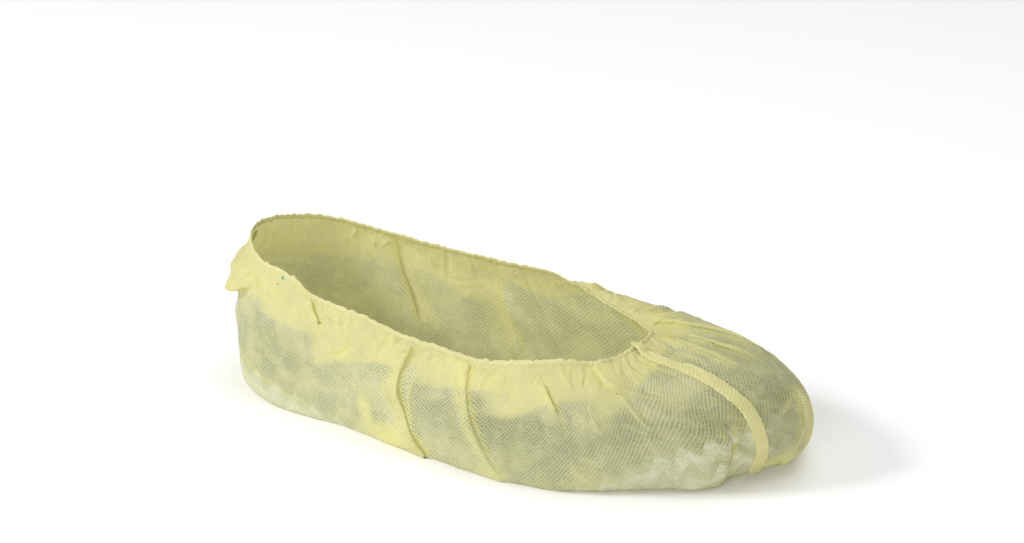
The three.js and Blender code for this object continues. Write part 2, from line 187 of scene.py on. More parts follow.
# One row for each sharp crease that stays in the settled sheet. line: given like a fold's. height: how far
# it stands out, or below zero how deep it is. width: how far it takes to fall away.
CREASES = table(
    "at line height width",
    ("vamp_line", ((0.403, 0.13), (0.414, 0.33), (0.418, 0.54)), 1.7, 1.2),
    ("vamp_arc", ((0.404, 0.13), (0.431, 0.3), (0.461, 0.39)), 1.7, 1.2),
    ("vamp_short", ((0.385, 0.29), (0.383, 0.38), (0.386, 0.5)), 1.1, 1.1),
    ("toe_lip_top", ((0.563, 0.04), (0.572, 0.12), (0.59, 0.27)), 1.5, 2.2),
    ("toe_lip_under", ((0.556, 0.05), (0.56, 0.14), (0.575, 0.28)), -1.0, 1.6),
    ("toe_run", ((0.524, 0.03), (0.516, 0.15), (0.529, 0.43)), 1.5, 1.3),
    ("toe_run_low", ((0.502, 0.03), (0.511, 0.13), (0.512, 0.25)), -0.8, 1.4),
    ("toe_run_side", ((0.48, 0.03), (0.487, 0.1), (0.497, 0.22)), -0.7, 1.4),
    ("toe_run_far", ((0.541, 0.04), (0.533, 0.2), (0.545, 0.5)), 1.4, 1.3),
    ("lip_crease", ((0.503, 0.6), (0.509, 0.78), (0.506, 0.88), (0.489, 0.945), (0.473, 0.965)), -1.7, 1.3),
    ("lip_edge", ((0.513, 0.66), (0.517, 0.84), (0.512, 0.94), (0.494, 0.985)), 1.5, 2.2),
    ("toe_slant", ((0.51, 0.61), (0.5, 0.64), (0.49, 0.67)), 0.8, 1.0),
    ("seam_tuck", ((0.453, 0.07), (0.461, 0.14), (0.471, 0.24)), -1.1, 1.5),
    ("seam_groove", ((0.469, 0.25), (0.474, 0.5), (0.461, 0.9)), -0.4, 1.2),
    ("bottom_near", ((0.436, 0.87), (0.433, 0.93), (0.432, 0.99)), 1.0, 2.2),
    ("waist_right", ((0.246, 0.26), (0.241, 0.46), (0.248, 0.72)), 1.9, 1.6),
    ("waist_top", ((0.253, 0.04), (0.247, 0.12), (0.246, 0.22)), 0.9, 1.0),
    ("ball_band", ((0.269, 0.1), (0.283, 0.42), (0.311, 0.88)), 1.1, 1.1),
    ("ball_small", ((0.306, 0.01), (0.3, 0.12), (0.297, 0.26)), -0.6, 1.3),
    ("ball_next", ((0.318, 0.16), (0.319, 0.22), (0.317, 0.3)), -0.5, 1.2),
    ("ball_slant", ((0.343, 0.1), (0.355, 0.3), (0.363, 0.48)), -0.8, 1.4),
    ("ball_bottom", ((0.364, 0.72), (0.371, 0.83), (0.378, 0.96)), 1.0, 1.4),
    ("bunch_upper", ((0.208, 0.88), (0.228, 0.81), (0.244, 0.89)), 2.0, 2.2),
    ("bunch_lower", ((0.215, 0.92), (0.23, 0.95), (0.246, 0.9)), 1.5, 1.9),
    ("waist_left", ((0.211, 0.28), (0.223, 0.54), (0.24, 0.84)), 1.5, 1.3),
    ("heel_flap", ((0.03, 0.22), (0.06, 0.12), (0.09, 0.03)), 0.8, 1.8),
    ("quarter_low", ((0.146, 0.07), (0.152, 0.16), (0.149, 0.3)), -0.7, 1.4),
    ("quarter_slant", ((0.186, 0.2), (0.176, 0.31), (0.161, 0.4)), -0.9, 1.3),
    ("heel_low", ((0.06, 0.72), (0.1, 0.74), (0.14, 0.79)), -1.1, 1.5),
    ("flap_middle", ((0.02, 0.05), (0.014, 0.2), (0.022, 0.33)), 0.9, 1.8),
    ("flap_near", ((0.05, 0.05), (0.057, 0.18), (0.05, 0.31)), -0.8, 1.6),
    ("flap_far", ((-0.05, 0.04), (-0.066, 0.15), (-0.06, 0.3)), 0.8, 1.5),
    ("flap_end", ((0.085, 0.05), (0.082, 0.12), (0.09, 0.22)), 0.7, 1.6),
    ("heel_back", ((0.01, 0.62), (0.035, 0.69), (0.06, 0.72)), -0.7, 1.7),
)
CREASE_ENDS = 0.06  # share of half a wave that is cut off at each end of such a crease
# Width of the painted shade of sunk creases and painted highlight of raised ones, and that highlight's
# strength
CREASE_PAINTED_LIGHT = Row(sharp=1.6, bright=0.9)  # how narrow its tone is, and how bright a high one is
# Small creases that run down from the rim of the settled sheet. round and top: where they start, as shares
# of the way round and down. length: how far down they run. draw: the share of the way they lean towards a
# place, and that place. stray: how far their ends and their middles stray from it. sunk: the share of them
# that go in. mark: how strong the painted shade in those is.
RIM_CREASES = table(
    "count round top length draw stray width height sunk mark",
    (110, (0.0, 1.0), (0.0, 0.14), (0.05, 0.13), (0.0, 0.0), (0.004, 0.0), (0.5, 0.8), (0.3, 0.9), 1.0, 0.8),
    (22, (0.47, 0.6), (0.02, 0.05), (0.12, 0.37), (0.15, 0.52), (0, 0.006), (0.6, 1), (0.35, 0.9), 0.5, 0.3),
    (22, (0.56, 0.7), (0.0, 0.04), (0.1, 0.3), (0.1, 0.6), (0.004, 0.004), (1.0, 2.0), (0.6, 1.5), 0.4, 0.4),
)
# Short slanting creases all over the sheet, those it settles with and the finer ones it has in the end.
# down: shares of the way down. slant: how far they turn. sink: how deep those that go in are, for those that
# stand out. bend: how far they curve. edge: how softly they fall away.
CRUMPLE, FINE_CRUMPLE = table(
    "count down slant length width height sink bend edge",
    (210, (0.05, 0.95), 0.6, (5, 18), (1.0, 2.6), (0.15, 0.7), 0.5, 0.012, 1.4),
    (340, (0.0, 1.0), 0.8, (3, 11), (0.6, 1.3), (0.1, 0.42), 1.0, 0.02, 1.0),
)
CREASE_REACH = 3.0  # a short crease is followed this many of its lengths from its middle
CREASE_FALL = 7.0  # and a long one this many of its widths to each side
SOLE_EASE = 0.03  # share of the wall above the sole line over which the creases die away
# Small pleats drawn up by the elastic. spread: how uneven their widths are. shares: of the height, that they
# have. reach: mm they run down at least, and more at most. short: how common short ones are. lean: turns for
# each mm down. foot: half a pleat's width. widen: how much that grows for each mm down. crest, end: how sharp
# it is and ends. sink: mm the cloth between them is drawn in at the rim, and mm over which that eases.
GATHERS = Row(count=140, spread=0.45, height=1.1, shares=(0.35, 1.25), reach=(5, 22), short=2.2, foot=0.62,
              lean=0.00035, widen=0.02, crest=1.3, end=1.5, sink=(0.5, 8))
# Share of the gathers that the hem presses flat, and the mm over which it does
HEM_GRIP = Row(share=0.75, reach=1.8)
# Slow swells between the folds. slant: turns down the wall. rim: mm over which they grow, from the least
SWELLS = Row(count=26, turns=(3, 17), slant=(0.2, 2.6), height=(0.05, 0.22), rim=14, least=0.1)
# mm beside a seam up to which it is felt, mm over which the small forms grow there, and how late they start
SEAM_CALM = Row(reach=9, grow=5, flat=0.5)
LOW_EASE = 0.12  # share of the wall above the sole line over which the small forms grow
# Share of the gathers that is left at a seam, and of the crumple and the swells at the sole line
LEFT = Row(gathers=0.35, crumple=0.3, swells=0.4)

# How the sheet settles. spare: how much longer the cloth is round, everywhere and where gathered, and mm over
# which that eases. longer: its length down, for the form's. glide: the share of its motion that it keeps.
# slant, bend, stiff: how firmly it keeps its slants, wide bends and curls. spans: cells those bends take.
# form, rim: how firmly the foot keeps it out and the elastic keeps the rim. even: how far it is smoothed.
RELAX = Row(rounds=300, spare=(0.02, 0.26, 7), longer=1.01, glide=0.85, weight=0.004, slant=0.5, bend=0.06,
            spans=(2, 4), stiff=0.02, step=0.45, form=0.9, rim=0.3, even=0.25, even_rounds=2)

# The two seams. line: given like the folds'. edge: how thick the strips are at the sides. welt: how much
# thicker along the sides. tail: mm of loose end past the rim.
TOE_SEAM, HEEL_SEAM = table(
    "line width thickness edge welt tail",
    (((0.462, 0.05), (0.483, 0.24), (0.484, 0.5), (0.476, 0.7), (0.469, 0.998)), 7.0, 1.1, 0.25, 0.25, 9.0),
    (((0.0, 0.05), (0.0, 0.3), (0.0, 0.6), (0.0, 0.998)), 4.4, 0.45, 0.12, 0.25, 0.0),
)
# Both strips. gap: mm they stand off the sheet. narrow: their width at the top, and the share over which
# they widen. sides, puckers: turns and heights of the waves of their sides and thickness. flat: how squarely
# they end. ridge: where the welt is, as a share of half the width, and how wide.
STRIP = Row(steps=260, lines=20, gap=0.06, narrow=(0.7, 0.3), sides=(range(2, 22, 2), (0.03, 0.1)),
            puckers=(range(2, 12), (0.01, 0.04)), flat=6, ridge=(0.8, 0.1), even_rounds=10)
# The loose end of a strip. row: the row that it carries on from. arch: how high it rises, and how soon. tip:
# how high it ends. swing: how far it turns aside. half: half its width, as a share of the strip's. taper:
# how much of that it loses, and how late. ragged: mm its end is torn.
TAIL = Row(steps=24, row=10, arch=(1.6, 1.25), tip=0.8, swing=0.9, half=0.35, taper=(0.8, 1.4), ragged=0.16)
# The hem. above: mm its middle stands above the sheet's edge. uneven: its share of the scallops. rows: those
# of the sheet that give its slope. upright: how far it turns up. edge_rounds, turn_rounds: how smooth it is.
HEM = Row(height=2.6, thickness=0.95, above=0.35, uneven=0.45, sides=12, rows=(4, 5, 8), upright=0.6,
          edge_rounds=6, turn_rounds=12)
RUFFLES = Row(count=60, turns=(30, 190), twists=3, height=(0.005, 0.03))  # fine waves of the hem's thickness
SCALLOPS = Row(count=24, turns=(25, 150), height=(0.05, 0.16))  # waves of its middle line

# Grid of the sheet: columns round the opening, rows down the wall and rows under the sole
COLUMNS = 960
WALL_ROWS = 92
SOLE_ROWS = 10
RIM_CROWDING = 1.2  # power by which the wall's rows are closer together at the rim
LENGTHS_AT = 0.7  # share of the way down at which lengths round the cover are measured
UV_ROUNDS = 60  # how evenly lengths up the cloth run round the cover
STEP_ROUND = 0.005  # small step round the wall, for the mm in a turn
SEAM_STEP = Row(round=0.004, down=0.02)  # and round and down the sheet, for its slope
TINY = 1e-6  # a length too small to divide by
ROUND = 1  # axes of the grid: round the opening and down the wall
DOWN = 0

# Bond dots of the fabric: mm between them, degrees their rows are turned, and mm they stray
DOTS = Row(pitch=1.43, turn=38.0, stray=1.3)
# Zigzag bands of the anti-slip print, in mm. width: half a band's. blur: how far past that and within it a
# band fades. warp: how far it strays. far: a distance from any band.
PRINT = Row(period=12.0, reach=4.5, width=1.9, blur=(0.7, 0.5), spacing=17.0, warp=7.0, far=99.0)
# Two small stray flecks near the rim, with their sizes in mm
FLECKS = table(
    "at size colour",
    ((0.1135, 0.019), (1.1, 1.6), (0.02, 0.35, 0.30, 1)),
    ((0.1095, 0.05), (1.2, 0.4), (0.16, 0.11, 0.06, 1)),
)
# Colours of the fabric where it is thin, in painted shade where tight, worn, under the foot, gathered (which
# also gives raised creases their painted highlight), double and bare, at its dots, at its dots in that painted
# shade, as painted shade deep in a crease and a deep tone in the strips, printed, and of the light through it
YELLOW = dict(
    thin=(0.68, 0.67, 0.425, 1),
    taut_shade=(0.34, 0.355, 0.235, 1),
    worn=(0.505, 0.525, 0.37, 1),
    sole=(0.61, 0.635, 0.47, 1),
    dense_and_highlight=(0.73, 0.685, 0.325, 1),
    double=(0.81, 0.765, 0.33, 1),
    bare=(0.56, 0.56, 0.32, 1),
    dot=(0.2, 0.205, 0.12, 1),
    shaded_dot=(0.085, 0.095, 0.06, 1),
    deep_shade_and_tone=(0.70, 0.635, 0.17, 1),
    print=(0.80, 0.82, 0.67, 1),
    through=(0.86, 0.82, 0.36, 1),
)
HEM_YELLOW = dict(YELLOW, dense_and_highlight=(0.76, 0.72, 0.39, 1), deep_shade_and_tone=(0.71, 0.67, 0.33, 1), dot=(0.62, 0.59, 0.29, 1))
HEEL_YELLOW = dict(YELLOW, dense_and_highlight=(0.79, 0.75, 0.42, 1), deep_shade_and_tone=(0.74, 0.71, 0.40, 1), dot=(0.55, 0.54, 0.30, 1))
SEAM_YELLOW = dict(YELLOW, dense_and_highlight=(0.83, 0.795, 0.42, 1), deep_shade_and_tone=(0.77, 0.73, 0.35, 1), dot=(0.56, 0.53, 0.24, 1))

# Lamps, floor and camera. Places and sizes of the lamps and the floor are in metres.
LIGHTS = table(
    "name place target size power",
    ("key", (-1.0, -0.7, 0.95), (0, 0, 0.03), 0.45, 13.6),
    ("top", (0.3, 0.45, 1.5), (0.1, 0.1, 0.03), 1.4, 11.5),
    ("fill", (0.3, -1.4, 0.5), (0, 0, 0.03), 0.9, 8.8),
)
WORLD_LIGHT = 0.36
FLOOR = Row(half=3.0, colour=(0.97, 0.97, 0.965, 1), roughness=0.9)
# The photo's camera: where it stands, worked out from the cover's outline, and where the image is centred
CAMERA = Row(azimuth=27.0, elevation=27.0, distance=1200.0, target=(153.0, 0.0, 40.0), focal=2508.0,
             sensor=36)
IMAGE = Row(width=1024, height=543, centre=(521.4, 346.7))


def unit(vectors):
    """Vectors of length one in the same directions."""
    return vectors / np.maximum(np.linalg.norm(vectors, axis=-1, keepdims=True), TINY)


def at_shares(pairs, u):
    """Values at shares of the way round, from a list of shares and values."""
    return np.interp(np.mod(u, 1.0), *np.array(pairs, float).T)


def nearest_turn(turns):
    """Shares of the way round, taken the short way: from half a turn back to half a turn on."""
    return (turns + 0.5) % 1.0 - 0.5


def at_least(least, share):
    """A share that runs from the least one, and not from zero, to one."""
    return least + (1 - least) * share


def raise_to(values, inside, least):
    """Raises the values of some places to the given ones, where they are lower."""
    values[inside] = np.maximum(values[inside], least)


def even_out(values, rounds, axis=0):
    """Values smoothed along an axis that is closed round."""
    for _ in range(rounds):
        values = (np.roll(values, 1, axis=axis) + 2 * values + np.roll(values, -1, axis=axis)) / 4
    return values


def waves(share, turns, height, rng):
    """Sum of waves along a line, one for each number of turns, with heights within a range."""
    return sum(rng.uniform(*height) * np.cos(2 * np.pi * (n * share + rng.random())) for n in turns)


def run_lengths(points):
    """How far along a line each of its points lies."""
    return np.concatenate([[0], np.cumsum(np.linalg.norm(np.diff(points, axis=0), axis=-1))])


def ring(column, u, slope=False):
    """Smooth closed line through one column of the spoke table, or its direction."""
    points = np.array([np.atleast_1d(getattr(row, column)) for row in SPOKES], float)
    place = np.mod(u, 1.0) * len(points)
    first = np.floor(place).astype(int)
    w = (place - first)[..., None]
    before, here, there, after = (points[(first + k) % len(points)] for k in (-1, 0, 1, 2))
    leave = 0.5 * (there - before)
    arrive = 0.5 * (after - here)
    if slope:
        bends = (6 * w**2 - 6 * w, 3 * w**2 - 4 * w + 1, -6 * w**2 + 6 * w, 3 * w**2 - 2 * w)
    else:
        bends = (2 * w**3 - 3 * w**2 + 1, w**3 - 2 * w**2 + w, -2 * w**3 + 3 * w**2, w**3 - w**2)
    return bends[0] * here + bends[1] * leave + bends[2] * there + bends[3] * arrive


def smooth_line(points, count):
    """Smooth open line through a few points, as count + 1 points."""
    points = np.array(points, float)
    padded = np.concatenate([2 * points[:1] - points[1:2], points, 2 * points[-1:] - points[-2:-1]])
    place = np.linspace(0, len(points) - 1, count + 1)
    first = np.minimum(np.floor(place).astype(int), len(points) - 2)
    w = (place - first)[:, None]
    before, here, there, after = (padded[first + k] for k in range(4))
    leave = 0.5 * (there - before)
    arrive = 0.5 * (after - here)
    ends = (2 * w**3 - 3 * w**2 + 1) * here + (3 * w**2 - 2 * w**3) * there
    return ends + (w**3 - 2 * w**2 + w) * leave + (w**3 - w**2) * arrive


def outward(u):
    """Level direction that points away from the foot, square to the sole line."""
    along = ring("sole", u, slope=True)
    return unit(np.stack([along[..., 1], -along[..., 0], 0 * along[..., 0]], -1))


def wall(u, v):
    """Points of the smooth wall: u is the share of the way round, v the share from rim to sole line."""
    rim = ring("rim", u)
    sole = ring("sole", u)
    shoulder = ring("shoulder", u)
    belly = ring("belly", u)
    out = outward(u)
    upper = rim + out * shoulder[..., :1]
    upper[..., 2] = rim[..., 2] - shoulder[..., 1]
    lower = sole + out * belly[..., :1]
    lower[..., 2] = sole[..., 2] + belly[..., 1]
    w = v[..., None]
    return (1 - w) ** 3 * rim + 3 * w * (1 - w) ** 2 * upper + 3 * w**2 * (1 - w) * lower + w**3 * sole


def raised_wall(u, v):
    """The smooth wall with its top edge at the rim's uneven height and its lower edge drawn in."""
    points = wall(u, v)
    points[..., 2] += at_shares(RIM_RISE, u) * np.clip(1 - v / RISE_REACH, 0, 1) ** 2
    return points - outward(u) * (at_shares(SOLE_TUCK, u) * v**3)[..., None]


def directions(points):
    """Unit directions round the opening and down the wall, and the outward normal, on a grid closed round."""
    along = unit(np.roll(points, -1, axis=1) - np.roll(points, 1, axis=1))
    down = unit(np.gradient(points, axis=0))
    return along, down, unit(np.cross(down, along))


def beside(line, places):
    """Distance of each place of the flattened wall to the left of a line, and its share of the way along."""
    best = np.full(places.shape[:-1], np.inf)
    left = np.zeros(places.shape[:-1])
    share = np.zeros(places.shape[:-1])
    for k in range(len(line) - 1):
        along = line[k + 1] - line[k]
        offset = places - line[k]
        t = np.clip((offset @ along) / (along @ along), 0, 1)
        rest = offset - t[..., None] * along
        distance = np.einsum("...i,...i", rest, rest)
        nearer = distance < best
        best[nearer] = distance[nearer]
        turn = along[0] * offset[..., 1] - along[1] * offset[..., 0]
        left[nearer] = (np.sqrt(distance) * np.sign(turn))[nearer]
        share[nearer] = ((k + t) / (len(line) - 1))[nearer]
    return left, share


def near_line(points, u, v, reach):
    """A line on the flattened wall, the places within reach of its box, and where those lie beside it."""
    line = smooth_line(points, FOLD_SAMPLES) * FOLD_SCALE
    middle = np.mean([point[0] for point in points])
    places = np.stack([nearest_turn(u - middle) + middle, v], -1) * FOLD_SCALE
    inside = np.all((places > line.min(axis=0) - reach) & (places < line.max(axis=0) + reach), axis=-1)
    left, share = beside(line, places[inside])
    return line, inside, left, share


def offsets(u, v, centre):
    """Millimetres round and down from one place of the flattened wall."""
    return nearest_turn(u - centre[0]) * FOLD_SCALE[0], (v - centre[1]) * FOLD_SCALE[1]


def fade_ends(fold, share):
    """How much of a fold there is along its line: it starts part way up at the rim, and falls to its tail."""
    rise, fall = getattr(fold, "ease", (FADE, 1.0 if fold.tail else FADE))
    start = np.clip(share / rise, 0, 1)
    if fold.line[0][1] < RIM_END:
        start = np.clip(RIM_START.climb * share + RIM_START.share, 0, 1)
    end = np.clip((1 - share) / fall, 0, 1)
    return start**2 * (3 - 2 * start) * (fold.tail + (1 - fold.tail) * end**2 * (3 - 2 * end))


def lay_folds(u, v):
    """How the folds lift the sheet and lay it over, how firmly they hold, where it is double, and painted
    cleft shade.
    """
    lift, hold, doubled, cleft_shade = np.zeros((4,) + u.shape)
    shift = np.zeros(u.shape + (2,))
    for fold in FOLDS:
        reach = FOLD_REACH * max(fold.left, fold.right)
        line, inside, left, share = near_line(fold.line, u, v, reach)
        ends = fade_ends(fold, share)
        flank = np.where(left > 0, fold.left, fold.right)
        if fold.lap:
            along = -np.sign(fold.lap) * left / flank
            slide = fold.lap * np.interp(along, LAID_OVER.along, LAID_OVER.place)
            rise = np.interp(along, LAID_OVER.along, LAID_OVER.rise)
            step = np.gradient(line, axis=0)[np.rint(share * FOLD_SAMPLES).astype(int)]
            across = np.stack([step[..., 1], -step[..., 0]], -1)
            shift[inside] += (slide * ends)[..., None] * unit(across)
            back = np.exp(-((along / LAYERS.back) ** 2))
            layers = np.where(along < 0, back, np.clip(1 - LAYERS.end * along, 0, 1))
            raise_to(doubled, inside, fold.show * ends * layers)
            cut = CLEFT_SHADE.depth - CLEFT_SHADE.fall * np.abs(along - CLEFT_SHADE.along)
            # Painted shade along the cleft where the cloth goes in under the fold
            raise_to(cleft_shade, inside, ends * np.clip(cut, 0, 1))
        else:
            rise = np.exp(-np.abs(left / flank) ** ROUND_CREST)
        raise_to(lift, inside, fold.height * ends * rise)
        raise_to(hold, inside, fold.hold * ends * np.exp(-((left / (HOLD_WIDTH * flank)) ** 2)))
    return lift, shift, hold, doubled, cleft_shade


def clear_of_hem(depth):
    """Share of the gathers that the hem lets stand, by mm below the rim."""
    return 1 - HEM_GRIP.share * np.exp(-depth / HEM_GRIP.reach)


def lay_gathers(u, depth, strength, rng):
    """How far the elastic's small pleats lift the sheet: u round the opening, depth in mm below the rim."""
    count = GATHERS.count
    widths = rng.lognormal(0, GATHERS.spread, count)
    centres = (np.cumsum(widths) - widths / 2) / widths.sum()
    widths = widths / widths.sum()
    heights = GATHERS.height * rng.uniform(*GATHERS.shares, count)
    least, more = GATHERS.reach
    reaches = least + more * rng.random(count) ** GATHERS.short
    leans = rng.normal(0, GATHERS.lean, count)
    lift = np.zeros(u.shape)
    for centre, width, height, reach, lean in zip(centres, widths, heights, reaches, leans):
        away = nearest_turn(u - centre - lean * depth)
        foot = GATHERS.foot * width * (1 + GATHERS.widen * depth)
        near = np.abs(away) < foot
        crest = 0.5 + 0.5 * np.cos(np.pi * away[near] / foot[near])
        fall = np.exp(-((depth[near] / reach) ** GATHERS.end))
        lift[near] += height * crest ** GATHERS.crest * fall
    sink, over = GATHERS.sink
    return strength * (lift - sink * np.exp(-depth / over)) * clear_of_hem(depth)


def crumple(u, v, row, rng):
    """How far many short slanting creases lift the sheet."""
    lift = np.zeros(u.shape)
    for _ in range(row.count):
        centre = rng.random(), rng.uniform(*row.down)
        angle = rng.normal(0, row.slant)
        length = rng.uniform(*row.length)
        width = rng.uniform(*row.width)
        height = rng.uniform(*row.height) * rng.choice([-row.sink, 1])
        bend = row.bend * rng.normal()
        x, y = offsets(u, v, centre)
        near = np.hypot(x, y) < CREASE_REACH * length
        along = np.cos(angle) * y[near] + np.sin(angle) * x[near]
        across = np.cos(angle) * x[near] - np.sin(angle) * y[near] + bend * along**2
        crest = height * np.exp(-((along / length) ** 2))
        lift[near] += crest * np.exp(-np.abs(across / width) ** row.edge)
    return lift


def patches(rows, u, v, edge):
    """How strongly the places of a table show, falling from each one's share at its middle to zero."""
    shares = np.zeros(u.shape)
    for row in rows:
        x, y = offsets(u, v, row.at)
        away = (x / row.reach[0]) ** 2 + (y / row.reach[1]) ** 2
        shares = np.maximum(shares, row.share * np.exp(-(away**edge)))
    return shares


def crease_near(line, width, ends, u, v):
    """The places near a crease, and how much of it there is at each."""
    _, inside, left, share = near_line(line, u, v, CREASE_FALL * width)
    wave = np.sin(np.pi * (ends + (1 - 2 * ends) * share))
    return inside, np.sqrt(wave) * np.exp(-np.abs(left) / width)


def add_creases(u, v, rng):
    """How far sharp creases and fine crumple stand out of the settled sheet, and their painted shade and
    highlight.
    """
    lift = crumple(u, v, FINE_CRUMPLE, rng)
    deep_shade_and_tone, high = np.zeros((2,) + u.shape)
    for crease in CREASES:
        inside, fall = crease_near(crease.line, crease.width, CREASE_ENDS, u, v)
        lift[inside] += crease.height * fall
        # Sunk creases get painted shade, raised ones a painted highlight
        marked = deep_shade_and_tone if crease.height < 0 else high
        raise_to(marked, inside, min(1.0, abs(crease.height)) * fall ** CREASE_PAINTED_LIGHT.sharp)
    for row in RIM_CREASES:
        for _ in range(row.count):
            start = rng.uniform(*row.round)
            top = rng.uniform(*row.top)
            bottom = top + rng.uniform(*row.length)
            end = start + row.draw[0] * (row.draw[1] - start) + rng.normal(0, row.stray[0])
            middle = (start + end) / 2 + rng.normal(0, row.stray[1])
            width = rng.uniform(*row.width)
            height = rng.uniform(*row.height)
            line = ((start, top), (middle, (top + bottom) / 2), (end, bottom))
            inside, fall = crease_near(line, width, 0.0, u, v)
            if rng.random() < row.sunk:
                lift[inside] -= height * fall
                # Painted shade in a sunk rim crease
                raise_to(deep_shade_and_tone, inside, row.mark * fall**2)
            else:
                lift[inside] += height * fall
    return lift * np.clip((1 - v) / SOLE_EASE, 0, 1), deep_shade_and_tone, high


def lay_swells(u, v, rng):
    """Slow uneven swells between the folds."""
    lift = np.zeros(u.shape)
    for _ in range(SWELLS.count):
        turns = rng.integers(*SWELLS.turns)
        slant = rng.uniform(*SWELLS.slant)
        lift += rng.uniform(*SWELLS.height) * np.cos(2 * np.pi * (turns * u + slant * v + rng.random()))
    return lift


def make_sheet_grid():
    """The settled wall from rim to sole line: shares of the way round, points, and marks of the cloth and
    painted light.
    """
    rng = np.random.default_rng(SEED)
    u, v = np.meshgrid(np.arange(COLUMNS) / COLUMNS, np.linspace(0, 1, WALL_ROWS + 1) ** RIM_CROWDING)
    smooth = raised_wall(u, v)
    along, down, out = directions(smooth)
    steps = np.linalg.norm(np.diff(smooth, axis=0), axis=-1)
    depth = np.concatenate([np.zeros((1, COLUMNS)), np.cumsum(steps, axis=0)])
    strength = ring("gather", u)[..., 0]
    seam = np.ones(u.shape)
    for row in (TOE_SEAM, HEEL_SEAM):
        _, inside, left, _ = near_line(row.line, u, v, SEAM_CALM.reach)
        grown = np.clip(np.abs(left) / SEAM_CALM.grow - SEAM_CALM.flat, 0, 1)
        seam[inside] = np.minimum(seam[inside], grown)
    low = np.clip((1 - v) / LOW_EASE, 0, 1)
    lift, shift, hold, doubled, cleft_shade = lay_folds(u, v)
    free = 1 - np.minimum(HOLD_FREE * hold, 1)
    lift = lift + free * at_least(LEFT.gathers, seam) * lay_gathers(u, depth, strength, rng)
    lift = lift + free * seam * at_least(LEFT.crumple, low) * crumple(u, v, CRUMPLE, rng)
    grown = np.clip(depth / SWELLS.rim, SWELLS.least, 1)
    lift = lift + at_least(LEFT.swells, low) * grown * lay_swells(u, v, rng)
    points = smooth + lift[..., None] * out + shift[..., :1] * along + shift[..., 1:] * down
    everywhere, gathered, over = RELAX.spare
    more_round = 1 + free * (everywhere + gathered * strength * np.exp(-depth / over) * clear_of_hem(depth))
    points = relax(points, smooth, out, more_round, np.full(u.shape, RELAX.longer), hold)
    creased, deep_shade_and_tone, high = add_creases(u, v, rng)
    points += creased[..., None] * directions(points)[2]
    points[..., 2] = np.maximum(points[..., 2], 0)
    doubled = np.maximum(doubled, patches(TUCKS, u, v, TUCK_EDGE))
    reach = at_shares(DENSE_REACH, u) * (1 + DENSE_END.waves * lay_swells(u, v, rng))
    thick = np.exp(-((depth / reach) ** DENSE_END.sharp))
    # The gathered tone also carries the painted highlight of raised creases
    dense_and_highlight = np.maximum(np.maximum(doubled, CREASE_PAINTED_LIGHT.bright * high), thick)
    # Painted shade over the tight patches
    taut_shade = patches(TAUT_SHADE, u, v, TAUT_SHADE_EDGE) * (1 - dense_and_highlight)
    # Painted shade in fold clefts and sunk creases
    cleft_shade = np.maximum(cleft_shade, deep_shade_and_tone)
    return u, points, dict(dense_and_highlight=dense_and_highlight, doubled=doubled, taut_shade=taut_shade, cleft_shade=cleft_shade, faded=at_shares(FADED, u))


def pull(points, rest, span, axis, stretch, squeeze):
    """Moves that bring points span apart along one axis of the grid back towards their rest distance."""
    if axis == ROUND:
        way = np.roll(points, -span, axis=1) - points
    else:
        way = points[span:] - points[:-span]
    length = np.sqrt(np.einsum("ijk,ijk->ij", way, way)) + TINY
    wrong = (length - rest) / length
    part = (0.5 * np.where(wrong > 0, stretch, squeeze) * wrong)[..., None] * way
    if axis == ROUND:
        return part - np.roll(part, span, axis=1)
    move = np.zeros_like(points)
    move[:-span] += part
    move[span:] -= part
    return move


def pull_slant(points, rest, turn):
    """Moves that keep the slanting distances of the grid's cells."""
    way = np.roll(points[1:], -turn, axis=1) - points[:-1]
    length = np.sqrt(np.einsum("ijk,ijk->ij", way, way)) + TINY
    part = (0.5 * (length - rest) / length)[..., None] * way
    move = np.zeros_like(points)
    move[:-1] += part
    move[1:] -= np.roll(part, turn, axis=1)
    return move


def curl(points, span=3):
    """How far the points beside each point, span apart round and down, lie off it in sum."""
    off = np.roll(points, span, axis=1) + np.roll(points, -span, axis=1) - 2 * points
    off[span:-span] += points[2 * span :] + points[: -2 * span] - 2 * points[span:-span]
    off[:span] = 0
    off[-span:] = 0
    return off


